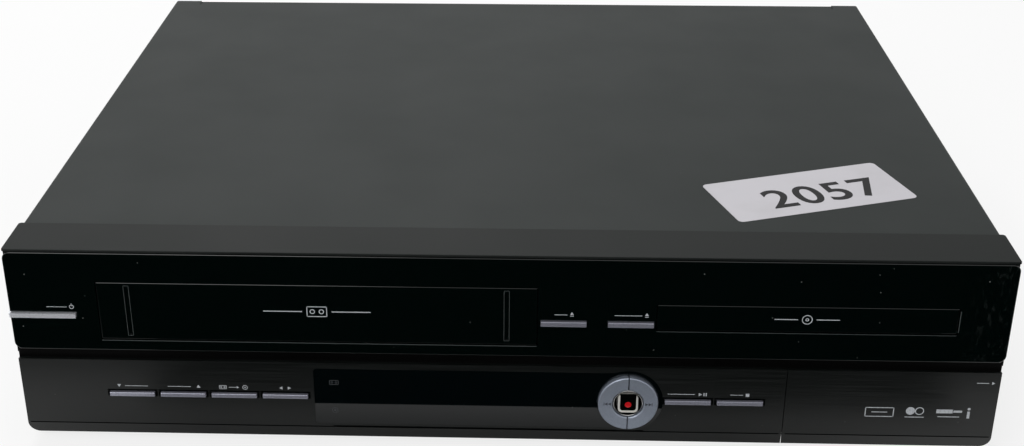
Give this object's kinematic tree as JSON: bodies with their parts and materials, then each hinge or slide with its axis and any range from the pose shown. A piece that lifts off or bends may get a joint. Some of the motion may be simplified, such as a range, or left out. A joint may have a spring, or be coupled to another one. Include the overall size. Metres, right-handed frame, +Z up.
{
  "type": "dvd vcr combo player",
  "caption": "Low wide home player with a disc tray, a cassette slot with a swinging door, front keys, a flip-down socket door and rear sockets.",
  "frame": {"origin": "bottom centre of the whole player, on the surface that its feet stand on", "axes": "+X to the right seen from the front, +Y from the front to the back, +Z up"},
  "size_m": [0.436, 0.3586, 0.099],
  "materials": {
    "steel_painted": "satin dark grey paint",
    "steel_plain": "zinc plated sheet",
    "abs_satin": "satin black moulding",
    "abs_gloss": "gloss black",
    "window_gloss": "smoked gloss window",
    "key_silver": "silver painted key",
    "key_chrome": "chromed key",
    "rubber_black": "soft black rubber",
    "abs_inner": "plain dark moulding",
    "abs_white": "natural white moulding",
    "board_green": "lacquered board",
    "board_brown": "paper board",
    "copper_core": "varnished winding",
    "capacitor_sleeve": "shrink sleeve",
    "aluminium_plain": "machined aluminium",
    "glass_tube": "clear glass",
    "paper_label": "off-white label",
    "jack_colours": "coloured socket collars",
    "screw_black": "black screws"
  },
  "bodies": {
    "case": {"bottom_chassis": "steel_plain", "top_cover": "steel_painted", "rear_panel": "steel_plain", "front_panel": "abs_satin", "upper_fascia": "abs_gloss", "lower_fascia": "abs_satin", "display_window": "window_gloss", "feet": "rubber_black", "case_screws": "screw_black", "stock_label": "paper_label", "front_board": "board_brown", "key_boards": "board_brown", "key_switches": "abs_inner", "display_tube": "glass_tube", "front_av_jacks": "jack_colours", "usb_socket": "steel_plain", "loader_frame": "abs_inner", "clamp_bridge": "steel_plain", "vcr_chassis": "steel_plain", "drum_base": "aluminium_plain", "tape_guides": "steel_plain", "main_board": "board_green", "power_board": "board_brown", "transformer": "copper_core", "filter_capacitors": "capacitor_sleeve", "heat_sink": "aluminium_plain", "mains_inlet": "abs_inner", "scart_sockets": "abs_inner", "rear_jacks": "abs_inner", "tuner_module": "steel_plain", "fan_frame": "abs_inner"},
    "standby_key": {"standby_key": "key_silver"},
    "eject_key": {"eject_key": "key_silver"},
    "open_close_key": {"open_close_key": "key_silver"},
    "channel_down_key": {"channel_down_key": "key_silver"},
    "channel_up_key": {"channel_up_key": "key_silver"},
    "dubbing_key": {"dubbing_key": "key_silver"},
    "source_key": {"source_key": "key_silver"},
    "play_key": {"play_key": "key_silver"},
    "stop_key": {"stop_key": "key_silver"},
    "previous_key": {"previous_key": "key_silver"},
    "next_key": {"next_key": "key_silver"},
    "record_key": {"record_key": "key_chrome"},
    "av_door": {"av_door": "abs_satin"},
    "cassette_door": {"cassette_door": "abs_gloss"},
    "disc_tray": {"disc_tray": "abs_inner", "tray_front": "abs_gloss"},
    "tray_gear": {"tray_gear": "abs_white"},
    "traverse": {"traverse_frame": "steel_plain"},
    "turntable": {"turntable": "abs_inner"},
    "laser_sled": {"laser_sled": "abs_inner"},
    "lead_screw": {"lead_screw": "steel_plain"},
    "disc_clamp": {"disc_clamp": "abs_inner"},
    "head_drum": {"head_drum": "aluminium_plain"},
    "capstan": {"capstan": "steel_plain"},
    "supply_reel": {"supply_reel": "abs_white"},
    "takeup_reel": {"takeup_reel": "abs_white"},
    "pinch_roller": {"pinch_roller": "rubber_black"},
    "cassette_holder": {"cassette_holder": "steel_plain"},
    "fan_rotor": {"fan_rotor": "abs_inner"}
  },
  "joints": [
    {"name": "standby_key_slide", "type": "slide", "parent": "case", "child": "standby_key", "axis": [0, 1, 0], "range_m": [0, 0.0008], "stiffness_N_per_m": 400},
    {"name": "eject_key_slide", "type": "slide", "parent": "case", "child": "eject_key", "axis": [0, 1, 0], "range_m": [0, 0.0008], "stiffness_N_per_m": 400},
    {"name": "open_close_key_slide", "type": "slide", "parent": "case", "child": "open_close_key", "axis": [0, 1, 0], "range_m": [0, 0.0008], "stiffness_N_per_m": 400},
    {"name": "channel_down_key_slide", "type": "slide", "parent": "case", "child": "channel_down_key", "axis": [0, 1, 0], "range_m": [0, 0.0008], "stiffness_N_per_m": 400},
    {"name": "channel_up_key_slide", "type": "slide", "parent": "case", "child": "channel_up_key", "axis": [0, 1, 0], "range_m": [0, 0.0008], "stiffness_N_per_m": 400},
    {"name": "dubbing_key_slide", "type": "slide", "parent": "case", "child": "dubbing_key", "axis": [0, 1, 0], "range_m": [0, 0.0008], "stiffness_N_per_m": 400},
    {"name": "source_key_slide", "type": "slide", "parent": "case", "child": "source_key", "axis": [0, 1, 0], "range_m": [0, 0.0008], "stiffness_N_per_m": 400},
    {"name": "play_key_slide", "type": "slide", "parent": "case", "child": "play_key", "axis": [0, 1, 0], "range_m": [0, 0.0008], "stiffness_N_per_m": 400},
    {"name": "stop_key_slide", "type": "slide", "parent": "case", "child": "stop_key", "axis": [0, 1, 0], "range_m": [0, 0.0008], "stiffness_N_per_m": 400},
    {"name": "previous_key_slide", "type": "slide", "parent": "case", "child": "previous_key", "axis": [0, 1, 0], "range_m": [0, 0.0008], "stiffness_N_per_m": 400},
    {"name": "next_key_slide", "type": "slide", "parent": "case", "child": "next_key", "axis": [0, 1, 0], "range_m": [0, 0.0008], "stiffness_N_per_m": 400},
    {"name": "record_key_slide", "type": "slide", "parent": "case", "child": "record_key", "axis": [0, 1, 0], "range_m": [0, 0.0008], "stiffness_N_per_m": 400},
    {"name": "av_door_turn", "type": "hinge", "parent": "case", "child": "av_door", "pos_m": [0.17, -0.1715, 0.0093], "axis": [1, 0, 0], "range_deg": [0, 90]},
    {"name": "cassette_door_turn", "type": "hinge", "parent": "case", "child": "cassette_door", "pos_m": [-0.0822, -0.1735, 0.0825], "axis": [1, 0, 0], "range_deg": [0, 80], "stiffness_Nm_per_rad": 0.02},
    {"name": "disc_tray_slide", "type": "slide", "parent": "case", "child": "disc_tray", "axis": [0, -1, 0], "range_m": [0, 0.135]},
    {"name": "tray_gear_turn", "type": "hinge", "parent": "case", "child": "tray_gear", "pos_m": [0.079, -0.155, 0.065], "axis": [0, 0, 1], "range_deg": [0, 1106]},
    {"name": "traverse_turn", "type": "hinge", "parent": "case", "child": "traverse", "pos_m": [0.13, 0.006, 0.0515], "axis": [1, 0, 0], "range_deg": [0, 5.5]},
    {"name": "turntable_turn", "type": "hinge", "parent": "traverse", "child": "turntable", "pos_m": [0.13, -0.104, 0.06], "axis": [0, 0, 1], "continuous": true},
    {"name": "laser_sled_slide", "type": "slide", "parent": "traverse", "child": "laser_sled", "axis": [0, 1, 0], "range_m": [0, 0.034]},
    {"name": "lead_screw_turn", "type": "hinge", "parent": "traverse", "child": "lead_screw", "pos_m": [0.158, -0.05, 0.0585], "axis": [0, 1, 0], "range_deg": [0, 4090]},
    {"name": "disc_clamp_turn", "type": "hinge", "parent": "case", "child": "disc_clamp", "pos_m": [0.13, -0.104, 0.079], "axis": [0, 0, 1], "continuous": true},
    {"name": "head_drum_turn", "type": "hinge", "parent": "case", "child": "head_drum", "pos_m": [-0.0822, 0.065, 0.0232], "axis": [0, -0.0872, 0.9962], "continuous": true},
    {"name": "capstan_turn", "type": "hinge", "parent": "case", "child": "capstan", "pos_m": [-0.03, 0.03, 0.03], "axis": [0, 0, 1], "continuous": true},
    {"name": "supply_reel_turn", "type": "hinge", "parent": "case", "child": "supply_reel", "pos_m": [-0.12745, -0.02, 0.03], "axis": [0, 0, 1], "continuous": true},
    {"name": "takeup_reel_turn", "type": "hinge", "parent": "case", "child": "takeup_reel", "pos_m": [-0.03695, -0.02, 0.03], "axis": [0, 0, 1], "continuous": true},
    {"name": "pinch_roller_turn", "type": "hinge", "parent": "case", "child": "pinch_roller", "pos_m": [-0.0211, 0.008, 0.028], "axis": [0, 0, 1], "range_deg": [0, 20]},
    {"name": "cassette_holder_slide", "type": "slide", "parent": "case", "child": "cassette_holder", "axis": [0, 1, 0], "range_m": [0, 0.06]},
    {"name": "fan_rotor_turn", "type": "hinge", "parent": "case", "child": "fan_rotor", "pos_m": [0.105, 0.164, 0.058], "axis": [0, 1, 0], "continuous": true}
  ],
  "couplings": [
    {"joint": "tray_gear_turn", "follows": "disc_tray_slide", "rad_per_m": 142.86},
    {"joint": "lead_screw_turn", "follows": "laser_sled_slide", "rad_per_m": 2094.4},
    {"joint": "disc_clamp_turn", "follows": "turntable_turn", "ratio": 1}
  ]
}
